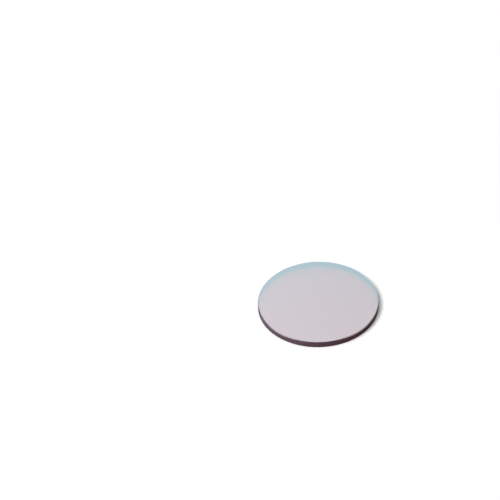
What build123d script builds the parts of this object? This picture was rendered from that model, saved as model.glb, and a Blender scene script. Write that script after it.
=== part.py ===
from build123d import *
import os

# Unmounted optical bandpass filter: one round plate of glass, coated on both faces.
# Millimetres, +Z up, origin at the centre of the face that the filter rests on.

DIAMETER = 36.0  # across the ground edge
THICKNESS = 2.0  # from coated face to coated face
BEVEL = 0.2  # leg of the 45 degree protective bevel on each rim

EDGE_RADIUS = DIAMETER / 2
FACE_RADIUS = EDGE_RADIUS - BEVEL  # where each flat coated face ends


def half_section():
    """Outline from the axis out to the ground edge and back, in the XZ plane."""
    lower_face_end = (FACE_RADIUS, 0)
    edge_foot = (EDGE_RADIUS, BEVEL)
    edge_top = (EDGE_RADIUS, THICKNESS - BEVEL)
    upper_face_end = (FACE_RADIUS, THICKNESS)
    with BuildSketch(Plane.XZ) as section:
        with BuildLine():
            Polyline(
                (0, 0),
                lower_face_end,
                edge_foot,
                edge_top,
                upper_face_end,
                (0, THICKNESS),
                close=True,
            )
        make_face()
    return section.sketch


def make_filter_disc():
    """The whole filter: two flat coated faces, a ground edge and a bevel on each rim."""
    disc = revolve(half_section(), axis=Axis.Z)
    disc.label = "filter_disc"
    return disc


os.makedirs("parts", exist_ok=True)
export_step(make_filter_disc(), "parts/filter_disc.step")
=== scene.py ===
import math

import bpy
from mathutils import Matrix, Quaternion, Vector


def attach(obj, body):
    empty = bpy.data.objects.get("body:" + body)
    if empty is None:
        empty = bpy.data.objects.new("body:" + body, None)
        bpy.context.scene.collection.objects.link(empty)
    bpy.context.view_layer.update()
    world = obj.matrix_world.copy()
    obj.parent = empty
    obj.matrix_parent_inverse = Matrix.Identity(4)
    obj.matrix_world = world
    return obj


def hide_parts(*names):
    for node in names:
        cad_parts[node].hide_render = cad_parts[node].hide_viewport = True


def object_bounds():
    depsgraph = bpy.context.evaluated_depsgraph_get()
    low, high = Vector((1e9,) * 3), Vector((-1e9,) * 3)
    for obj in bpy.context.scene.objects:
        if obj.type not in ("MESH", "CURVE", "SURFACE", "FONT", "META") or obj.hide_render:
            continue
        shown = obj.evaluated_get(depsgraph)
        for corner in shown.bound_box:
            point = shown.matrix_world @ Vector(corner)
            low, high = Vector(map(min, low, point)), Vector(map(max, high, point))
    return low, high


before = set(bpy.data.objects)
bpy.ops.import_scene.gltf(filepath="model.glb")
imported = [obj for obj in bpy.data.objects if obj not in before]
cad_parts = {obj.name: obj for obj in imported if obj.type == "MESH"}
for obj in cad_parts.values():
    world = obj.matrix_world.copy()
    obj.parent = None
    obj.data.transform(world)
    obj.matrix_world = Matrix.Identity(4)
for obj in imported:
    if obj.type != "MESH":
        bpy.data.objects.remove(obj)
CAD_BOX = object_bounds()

# Unmounted optical bandpass filter, in metres. Its two sizes come from the CAD disc.
MM = 0.001
RADIUS = CAD_BOX[1][0]
THICKNESS = CAD_BOX[1][2]
BEVEL = 0.2 * MM  # leg of the 45 degree bevel on each rim
SEGMENTS = 288  # steps round the rim, 0.4 mm each
FACE_RINGS = 13  # from the axis to the bevel, 1.5 mm apart
WALL_RINGS = 4
BEVEL_RINGS = 2
WELD = 0.002 * MM  # closes the seam, the poles and the joins of the strips
CREASE = math.radians(30)  # the rims are sharper than this, the steps round them are not
FLAT_FACE = 0.9  # a flat face has more than this of its normal along the axis
LEANING = 0.5  # and a 45 degree bevel more than this

GLASS_IOR = 1.46  # fused silica
BARE_MIRROR = ((GLASS_IOR - 1) / (GLASS_IOR + 1)) ** 2  # what it mirrors head on, uncoated
GRIT = 0.25 * MM
GRINDING_LINES = 0.24 * MM  # one light and one dark line
LINE_STRETCH = 0.04  # how much slower the lines change along the rim than across it

ELEVATION = math.radians(42.258)  # of the camera above the disc
TOWARDS_CAMERA = Vector((0, -math.cos(ELEVATION), math.sin(ELEVATION)))
CAMERA_DISTANCE = 0.9
CAMERA_ROLL = math.radians(-2.377)
FOCAL_LENGTH = 217.43  # this one in mm, on a sensor 36 mm wide
AIM = Vector((-20.38, 23.84, 0)) * MM  # from the disc's middle to the middle of the frame

SHADOW_REACH = 40 * MM  # the floor starts to whiten here
PLAIN_FROM = 120 * MM  # and is plain white from here on
FLOOR_HALF = 3.0
FLOOR_DROP = 0.01 * MM  # under the resting face, so that the two don't fight
KEY_PLACE = Vector((-0.5, -0.35, 0.8))

# A Mix node has sockets of the same name for values, vectors and colours, told apart by place.
VALUE_A, VALUE_B, VECTOR_A, VECTOR_B, COLOUR_A, COLOUR_B = 2, 3, 4, 5, 6, 7
MIXED_VALUE, MIXED_VECTOR, MIXED_COLOUR = 0, 1, 2


def linear(hex_colour):
    """sRGB hex to linear RGBA."""
    channels = [int(hex_colour[i : i + 2], 16) / 255 for i in (1, 3, 5)]
    return [
        c / 12.92 if c <= 0.04045 else ((c + 0.055) / 1.055) ** 2.4 for c in channels
    ] + [1.0]


WHITE = linear("#ffffff")


def mirror_tint(hex_colour, specular_level=0.5):
    """The Specular Tint with which glass mirrors this colour head on."""
    untinted = BARE_MIRROR * 2 * specular_level
    return [c / untinted for c in linear(hex_colour)[:3]] + [1.0]


def add(tree, kind, inputs=(), **settings):
    """Add one node with its settings; an input is a value, or a socket to link from."""
    node = tree.nodes.new(kind)
    for name, value in settings.items():
        setattr(node, name, value)
    for key, value in dict(inputs).items():
        if isinstance(value, bpy.types.NodeSocket):
            tree.links.new(value, node.inputs[key])
        else:
            node.inputs[key].default_value = value
    return node


def new_material(name):
    material = bpy.data.materials.new(name)
    material.use_nodes = True
    material.node_tree.nodes.clear()
    return material, material.node_tree


# Finishes


def dichroic_front_coating():
    """Hard dielectric stack on polished fused silica: a cool mirror that lets the red in.

    It mirrors far more than bare glass does, and what it doesn't mirror goes inside, to the
    back coating. What passes is warmer at the near side and cooler at the far side, with a
    faint cloud in it 30 mm wide.
    """
    material, tree = new_material("dichroic_coated_silica")
    place = add(tree, "ShaderNodeTexCoord").outputs["Object"]
    across = add(tree, "ShaderNodeSeparateXYZ", {0: place}).outputs
    nearness = add(
        tree,
        "ShaderNodeMapRange",
        {"Value": across["Y"], "From Min": RADIUS, "From Max": -RADIUS},
    )
    near_far_tint = add(
        tree,
        "ShaderNodeMix",
        {
            "Factor": nearness.outputs["Result"],
            COLOUR_A: linear("#bcd2d8"),
            COLOUR_B: linear("#ecd2cc"),
        },
        data_type="RGBA",
    )
    cloud = add(
        tree,
        "ShaderNodeTexNoise",
        {"Vector": place, "Scale": 1 / (30 * MM), "Detail": 1.0},
        noise_dimensions="3D",
    )
    passed = add(
        tree,
        "ShaderNodeMix",
        {
            "Factor": cloud.outputs["Fac"],
            COLOUR_A: near_far_tint.outputs[MIXED_COLOUR],
            COLOUR_B: linear("#dfcfd2"),
        },
        data_type="RGBA",
    )
    coated = add(
        tree,
        "ShaderNodeBsdfPrincipled",
        {
            "Base Color": passed.outputs[MIXED_COLOUR],
            "Roughness": 0.0,
            "IOR": GLASS_IOR,
            "Transmission Weight": 1.0,
            "Specular Tint": mirror_tint("#adc5ce"),
        },
    )
    add(tree, "ShaderNodeOutputMaterial", {"Surface": coated.outputs[0]})
    return material


def blocking_back_coating():
    """Blocking stack on the resting face: a copper mirror that sends back what is let in.

    It is faintly satin, which softens the inner border of the blue crescent at the far rim.
    """
    material, tree = new_material("blocking_back_coating")
    mirror = add(
        tree,
        "ShaderNodeBsdfPrincipled",
        {"Base Color": linear("#e56f2b"), "Metallic": 1.0, "Roughness": 0.28},
    )
    add(tree, "ShaderNodeOutputMaterial", {"Surface": mirror.outputs[0]})
    return material


def coated_bevel():
    """Ground bevel of the front rim, which the coating runs over: a satin sheen on dark brown."""
    material, tree = new_material("coated_ground_bevel")
    sheen = add(
        tree,
        "ShaderNodeBsdfPrincipled",
        {
            "Base Color": linear("#3c2c33"),
            "Roughness": 0.28,
            "IOR": GLASS_IOR,
            "Specular IOR Level": 1.0,
            "Specular Tint": mirror_tint("#b8afb3", 1.0),
        },
    )
    add(tree, "ShaderNodeOutputMaterial", {"Surface": sheen.outputs[0]})
    return material


def ground_edge():
    """Diamond-ground glass wall: fine matt, and dull because the inside of the glass is dark.

    It goes from mauve grey at the left to red brown at the right: painted light, the left side
    lighter as if more light got into the glass there. The wheel leaves grit marks and lines that
    run round the rim. Real lines are 0.03 mm apart, which is too fine to show, so they are drawn
    0.12 mm apart, and the grit as coarse as that.
    """
    material, tree = new_material("ground_glass_edge")
    place = add(tree, "ShaderNodeTexCoord").outputs["Object"]
    across = add(tree, "ShaderNodeSeparateXYZ", {0: place}).outputs
    rightness = add(
        tree,
        "ShaderNodeMapRange",
        {"Value": across["X"], "From Min": -RADIUS, "From Max": RADIUS},
    )
    # painted light: lighter mauve grey at the left, darker red brown at the right
    inside = add(
        tree,
        "ShaderNodeMix",
        {
            "Factor": rightness.outputs["Result"],
            COLOUR_A: linear("#66555f"),
            COLOUR_B: linear("#40151c"),
        },
        data_type="RGBA",
    )

    grit = add(
        tree,
        "ShaderNodeTexNoise",
        {"Vector": place, "Scale": 1 / GRIT, "Detail": 3.0},
        noise_dimensions="3D",
    )
    drawn_out = add(
        tree,
        "ShaderNodeMapping",
        {"Vector": place, "Scale": (LINE_STRETCH, LINE_STRETCH, 1.0)},
    )
    lines = add(
        tree,
        "ShaderNodeTexNoise",
        {"Vector": drawn_out.outputs[0], "Scale": 1 / GRINDING_LINES, "Detail": 2.0},
        noise_dimensions="3D",
    )
    marks = add(
        tree,
        "ShaderNodeMix",
        {"Factor": 0.55, VALUE_A: grit.outputs["Fac"], VALUE_B: lines.outputs["Fac"]},
        data_type="FLOAT",
    )
    contrast = add(
        tree,
        "ShaderNodeMapRange",
        {"Value": marks.outputs[MIXED_VALUE], "From Min": 0.3, "From Max": 0.7},
    )
    shade = add(
        tree,
        "ShaderNodeMix",
        {
            "Factor": contrast.outputs["Result"],
            COLOUR_A: linear("#b8b0b4"),
            COLOUR_B: WHITE,
        },
        data_type="RGBA",
    )
    marked = add(
        tree,
        "ShaderNodeMix",
        {
            "Factor": 1.0,
            COLOUR_A: inside.outputs[MIXED_COLOUR],
            COLOUR_B: shade.outputs[MIXED_COLOUR],
        },
        data_type="RGBA",
        blend_type="MULTIPLY",
    )

    above_middle = add(
        tree,
        "ShaderNodeMath",
        {0: across["Z"], 1: THICKNESS / 2},
        operation="SUBTRACT",
    )
    off_middle = add(
        tree, "ShaderNodeMath", {0: above_middle.outputs[0]}, operation="ABSOLUTE"
    )
    painted_rim_shade = add(  # painted shade: darker where the wall meets the bevels, and on the lower bevel
        tree,
        "ShaderNodeMapRange",
        {
            "Value": off_middle.outputs[0],
            "From Min": THICKNESS / 2 - 1.3 * BEVEL,
            "From Max": THICKNESS / 2 - 0.9 * BEVEL,
            "To Min": 1.0,
            "To Max": 0.65,
        },
    )
    rim_shaded = add(
        tree,
        "ShaderNodeVectorMath",
        {0: marked.outputs[MIXED_COLOUR], "Scale": painted_rim_shade.outputs["Result"]},
        operation="SCALE",
    )
    bump = add(
        tree,
        "ShaderNodeBump",
        {"Height": marks.outputs[MIXED_VALUE], "Strength": 0.5, "Distance": 0.02 * MM},
    )
    frost = add(
        tree,
        "ShaderNodeBsdfPrincipled",
        {
            "Base Color": rim_shaded.outputs[0],
            "Roughness": 0.62,
            "IOR": GLASS_IOR,
            "Specular IOR Level": 0.12,
            "Normal": bump.outputs[0],
        },
    )
    add(tree, "ShaderNodeOutputMaterial", {"Surface": frost.outputs[0]})
    return material


# The disc


def new_geometry_tree(name, inputs):
    """A tree with named inputs and one mesh output; also each input's identifier."""
    tree = bpy.data.node_groups.new(name, "GeometryNodeTree")
    identifiers = {
        label: tree.interface.new_socket(label, in_out="INPUT", socket_type=kind).identifier
        for label, kind in inputs.items()
    }
    tree.interface.new_socket(
        "Geometry", in_out="OUTPUT", socket_type="NodeSocketGeometry"
    )
    return tree, identifiers


def turned_line():
    """Node group: the surface that a straight line from Start to End sweeps round Z."""
    tree, _ = new_geometry_tree(
        "turned_line",
        {
            "Start": "NodeSocketVector",
            "End": "NodeSocketVector",
            "Rings": "NodeSocketInt",
            "Segments": "NodeSocketInt",
        },
    )
    given = add(tree, "NodeGroupInput").outputs
    columns = add(
        tree, "ShaderNodeMath", {0: given["Segments"], 1: 1.0}, operation="ADD"
    )
    sheet = add(
        tree,
        "GeometryNodeMeshGrid",
        {
            "Size X": 1.0,
            "Size Y": 1.0,
            "Vertices X": given["Rings"],
            "Vertices Y": columns.outputs[0],
        },
    )
    on_sheet = add(
        tree,
        "ShaderNodeSeparateXYZ",
        {0: add(tree, "GeometryNodeInputPosition").outputs[0]},
    ).outputs
    along = add(tree, "ShaderNodeMath", {0: on_sheet["X"], 1: 0.5}, operation="ADD")
    on_line = add(
        tree,
        "ShaderNodeMix",
        {"Factor": along.outputs[0], VECTOR_A: given["Start"], VECTOR_B: given["End"]},
        data_type="VECTOR",
    )
    turn = add(  # clockwise, so that the faces point outwards
        tree,
        "ShaderNodeMath",
        {0: on_sheet["Y"], 1: -math.tau},
        operation="MULTIPLY",
    )
    swung = add(
        tree,
        "ShaderNodeVectorRotate",
        {"Vector": on_line.outputs[MIXED_VECTOR], "Angle": turn.outputs[0]},
        rotation_type="Z_AXIS",
    )
    turned = add(
        tree,
        "GeometryNodeSetPosition",
        {"Geometry": sheet.outputs["Mesh"], "Position": swung.outputs[0]},
    )
    add(tree, "NodeGroupOutput", {"Geometry": turned.outputs[0]})
    return tree


def filter_disc_tree():
    """The disc's outline turned round its axis: faces, bevels and ground wall in one skin."""
    tree, identifiers = new_geometry_tree(
        "filter_disc_tree",
        {
            "Radius": "NodeSocketFloat",
            "Thickness": "NodeSocketFloat",
            "Bevel": "NodeSocketFloat",
            "Segments": "NodeSocketInt",
            "Face Rings": "NodeSocketInt",
            "Wall Rings": "NodeSocketInt",
            "Front Coating": "NodeSocketMaterial",
            "Back Coating": "NodeSocketMaterial",
            "Coated Bevel": "NodeSocketMaterial",
            "Ground Edge": "NodeSocketMaterial",
        },
    )
    given = add(tree, "NodeGroupInput").outputs
    face_end = add(
        tree,
        "ShaderNodeMath",
        {0: given["Radius"], 1: given["Bevel"]},
        operation="SUBTRACT",
    ).outputs[0]
    shoulder = add(
        tree,
        "ShaderNodeMath",
        {0: given["Thickness"], 1: given["Bevel"]},
        operation="SUBTRACT",
    ).outputs[0]
    outline = [
        add(tree, "ShaderNodeCombineXYZ", {"X": x, "Z": z}).outputs[0]
        for x, z in (
            (0.0, 0.0),
            (face_end, 0.0),
            (given["Radius"], given["Bevel"]),
            (given["Radius"], shoulder),
            (face_end, given["Thickness"]),
            (0.0, given["Thickness"]),
        )
    ]
    rings_across = (
        given["Face Rings"],
        BEVEL_RINGS,
        given["Wall Rings"],
        BEVEL_RINGS,
        given["Face Rings"],
    )
    skin = add(tree, "GeometryNodeJoinGeometry")
    line = turned_line()
    for start, end, rings in zip(outline, outline[1:], rings_across):
        strip = add(
            tree,
            "GeometryNodeGroup",
            {"Start": start, "End": end, "Rings": rings, "Segments": given["Segments"]},
            node_tree=line,
        )
        tree.links.new(strip.outputs[0], skin.inputs[0])
    closed = add(
        tree,
        "GeometryNodeMergeByDistance",
        {"Geometry": skin.outputs[0], "Distance": WELD},
    )

    smooth_faces = add(
        tree,
        "GeometryNodeSetShadeSmooth",
        {"Geometry": closed.outputs[0]},
        domain="FACE",
    )
    angle = add(tree, "GeometryNodeInputMeshEdgeAngle")
    not_a_rim = add(
        tree,
        "FunctionNodeCompare",
        {0: angle.outputs["Unsigned Angle"], 1: CREASE},
        data_type="FLOAT",
        operation="LESS_THAN",
    )
    smooth = add(
        tree,
        "GeometryNodeSetShadeSmooth",
        {"Geometry": smooth_faces.outputs[0], "Shade Smooth": not_a_rim.outputs[0]},
        domain="EDGE",
    )

    piece = add(tree, "GeometryNodeRealizeInstances", {"Geometry": smooth.outputs[0]})
    upwards = add(
        tree,
        "ShaderNodeSeparateXYZ",
        {0: add(tree, "GeometryNodeInputNormal").outputs[0]},
    ).outputs["Z"]
    piece = add(
        tree,
        "GeometryNodeSetMaterial",
        {"Geometry": piece.outputs[0], "Material": given["Ground Edge"]},
    )
    for finish, operation, limit in (
        ("Coated Bevel", "GREATER_THAN", LEANING),
        ("Front Coating", "GREATER_THAN", FLAT_FACE),
        ("Back Coating", "LESS_THAN", -FLAT_FACE),
    ):
        where = add(tree, "ShaderNodeMath", {0: upwards, 1: limit}, operation=operation)
        piece = add(
            tree,
            "GeometryNodeSetMaterial",
            {
                "Geometry": piece.outputs[0],
                "Selection": where.outputs[0],
                "Material": given[finish],
            },
        )
    add(tree, "NodeGroupOutput", {"Geometry": piece.outputs[0]})
    return tree, identifiers


def make_filter_disc():
    """The tree's disc as a plain mesh."""
    tree, identifiers = filter_disc_tree()
    holder = bpy.data.objects.new("disc_holder", bpy.data.meshes.new("disc_holder"))
    bpy.context.collection.objects.link(holder)
    turning = holder.modifiers.new("turned_disc", "NODES")
    turning.node_group = tree
    for label, value in {
        "Radius": RADIUS,
        "Thickness": THICKNESS,
        "Bevel": BEVEL,
        "Segments": SEGMENTS,
        "Face Rings": FACE_RINGS,
        "Wall Rings": WALL_RINGS,
        "Front Coating": dichroic_front_coating(),
        "Back Coating": blocking_back_coating(),
        "Coated Bevel": coated_bevel(),
        "Ground Edge": ground_edge(),
    }.items():
        turning[identifiers[label]] = value
    depsgraph = bpy.context.evaluated_depsgraph_get()
    mesh = bpy.data.meshes.new_from_object(
        holder.evaluated_get(depsgraph), depsgraph=depsgraph
    )
    bpy.data.objects.remove(holder)
    mesh.name = "coated_filter_disc"
    disc = bpy.data.objects.new("coated_filter_disc", mesh)
    bpy.context.collection.objects.link(disc)
    return disc


disc = make_filter_disc()
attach(disc, "root")
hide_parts("filter_disc")


# The stage


def pale_floor():
    """Matt white table, with the disc's shadow near it and plain white further off."""
    material, tree = new_material("pale_floor")
    seen_by = add(tree, "ShaderNodeLightPath").outputs
    seen_or_mirrored = add(
        tree,
        "ShaderNodeMath",
        {0: seen_by["Is Camera Ray"], 1: seen_by["Is Glossy Ray"]},
        operation="MAXIMUM",
    )
    looked_at = add(
        tree,
        "ShaderNodeMath",
        {0: seen_or_mirrored.outputs[0], 1: seen_by["Is Transmission Ray"]},
        operation="MAXIMUM",
    )
    away = add(
        tree,
        "ShaderNodeVectorMath",
        {0: add(tree, "ShaderNodeTexCoord").outputs["Object"]},
        operation="LENGTH",
    )
    past_shadow = add(
        tree,
        "ShaderNodeMapRange",
        {
            "Value": away.outputs["Value"],
            "From Min": SHADOW_REACH,
            "From Max": PLAIN_FROM,
            "To Min": 0.1,
            "To Max": 1.0,
        },
        interpolation_type="SMOOTHSTEP",
    )
    glowing = add(
        tree,
        "ShaderNodeMath",
        {0: past_shadow.outputs["Result"], 1: looked_at.outputs[0]},
        operation="MULTIPLY",
    )
    paint = add(tree, "ShaderNodeBsdfDiffuse", {"Color": linear("#f3f3f3")})
    glow = add(tree, "ShaderNodeEmission", {"Color": WHITE})
    both = add(
        tree,
        "ShaderNodeMixShader",
        {0: glowing.outputs[0], 1: paint.outputs[0], 2: glow.outputs[0]},
    )
    add(tree, "ShaderNodeOutputMaterial", {"Surface": both.outputs[0]})
    return material


def make_floor():
    """A flat square, far wider than the view."""
    mesh = bpy.data.meshes.new("floor")
    corners = [
        (x * FLOOR_HALF, y * FLOOR_HALF, -FLOOR_DROP)
        for x, y in ((-1, -1), (1, -1), (1, 1), (-1, 1))
    ]
    mesh.from_pydata(corners, [], [(0, 1, 2, 3)])
    mesh.materials.append(pale_floor())
    floor = bpy.data.objects.new("floor", mesh)
    bpy.context.collection.objects.link(floor)


def make_world():
    """White studio: plain white to the camera, half as bright as light.

    A sharp mirror shows it a little darker to the right and towards the horizon, which gives
    the face its gradient. A satin one shows it dark low down and round the camera, so that
    the bevel shines on its two flanks only.
    """
    world = bpy.data.worlds.new("studio")
    bpy.context.scene.world = world
    world.use_nodes = True
    tree = world.node_tree
    tree.nodes.clear()
    direction = add(tree, "ShaderNodeTexCoord").outputs["Generated"]
    part = add(tree, "ShaderNodeSeparateXYZ", {0: direction}).outputs
    to_the_right = add(
        tree,
        "ShaderNodeMapRange",
        {
            "Value": part["X"],
            "From Min": -0.07,
            "From Max": 0.07,
            "To Min": 1.09,
            "To Max": 0.91,
        },
        interpolation_type="SMOOTHSTEP",
    )
    sharp_level = add(
        tree,
        "ShaderNodeMapRange",
        {"Value": part["Z"], "From Max": 0.3, "To Min": 0.65, "To Max": 1.0},
        interpolation_type="SMOOTHSTEP",
    )
    near_camera = add(
        tree,
        "ShaderNodeVectorMath",
        {0: direction, 1: TOWARDS_CAMERA},
        operation="DOT_PRODUCT",
    )
    round_camera = add(
        tree,
        "ShaderNodeMapRange",
        {
            "Value": near_camera.outputs["Value"],
            "From Min": 0.6,
            "From Max": 0.85,
            "To Min": 1.0,
            "To Max": 0.1,
        },
        interpolation_type="SMOOTHSTEP",
    )
    low_down = add(
        tree,
        "ShaderNodeMapRange",
        {
            "Value": part["Z"],
            "From Min": 0.35,
            "From Max": 0.5,
            "To Min": 0.15,
            "To Max": 1.0,
        },
        interpolation_type="SMOOTHSTEP",
    )
    satin_level = add(
        tree,
        "ShaderNodeMath",
        {0: low_down.outputs["Result"], 1: round_camera.outputs["Result"]},
        operation="MULTIPLY",
    )

    seen_by = add(tree, "ShaderNodeLightPath").outputs
    level = add(
        tree,
        "ShaderNodeMix",
        {
            "Factor": seen_by["Is Singular Ray"],
            VALUE_A: satin_level.outputs[0],
            VALUE_B: sharp_level.outputs["Result"],
        },
        data_type="FLOAT",
    )
    mirrored = add(
        tree,
        "ShaderNodeMath",
        {0: to_the_right.outputs["Result"], 1: level.outputs[MIXED_VALUE]},
        operation="MULTIPLY",
    )
    by_mirror = add(
        tree,
        "ShaderNodeMath",
        {0: seen_by["Is Glossy Ray"], 1: seen_by["Is Transmission Ray"]},
        operation="MAXIMUM",
    )
    off_camera = add(
        tree,
        "ShaderNodeMix",
        {"Factor": by_mirror.outputs[0], VALUE_A: 0.5, VALUE_B: mirrored.outputs[0]},
        data_type="FLOAT",
    )
    strength = add(
        tree,
        "ShaderNodeMix",
        {
            "Factor": seen_by["Is Camera Ray"],
            VALUE_A: off_camera.outputs[MIXED_VALUE],
            VALUE_B: 1.0,
        },
        data_type="FLOAT",
    )
    glow = add(
        tree,
        "ShaderNodeBackground",
        {"Color": WHITE, "Strength": strength.outputs[MIXED_VALUE]},
    )
    add(tree, "ShaderNodeOutputWorld", {"Surface": glow.outputs[0]})


def make_key_lamp():
    """Large soft lamp, high on the left, that throws the short shadow; no mirror shows it."""
    light = bpy.data.lights.new("key", "AREA")
    light.shape = "DISK"
    light.size = 0.6
    light.energy = 10.0
    lamp = bpy.data.objects.new("key", light)
    lamp.location = KEY_PLACE
    lamp.rotation_mode = "QUATERNION"
    lamp.rotation_quaternion = (-KEY_PLACE).to_track_quat("-Z", "Y")
    lamp.visible_glossy = False
    lamp.visible_transmission = False
    bpy.context.collection.objects.link(lamp)


def make_camera():
    """Long lens, 42 degrees above the disc, the disc low and right of the frame's middle."""
    middle = Vector((0, 0, THICKNESS))
    eye = middle + CAMERA_DISTANCE * TOWARDS_CAMERA
    lens = bpy.data.cameras.new("camera")
    lens.lens = FOCAL_LENGTH
    lens.sensor_width = 36.0
    lens.clip_start = 0.01
    lens.clip_end = 10.0
    camera = bpy.data.objects.new("camera", lens)
    camera.location = eye
    camera.rotation_mode = "QUATERNION"
    looking = (middle + AIM - eye).to_track_quat("-Z", "Y")
    camera.rotation_quaternion = looking @ Quaternion((0, 0, 1), CAMERA_ROLL)
    bpy.context.collection.objects.link(camera)
    bpy.context.scene.camera = camera


make_floor()
make_world()
make_key_lamp()
make_camera()
bpy.context.scene.view_settings.view_transform = "Standard"
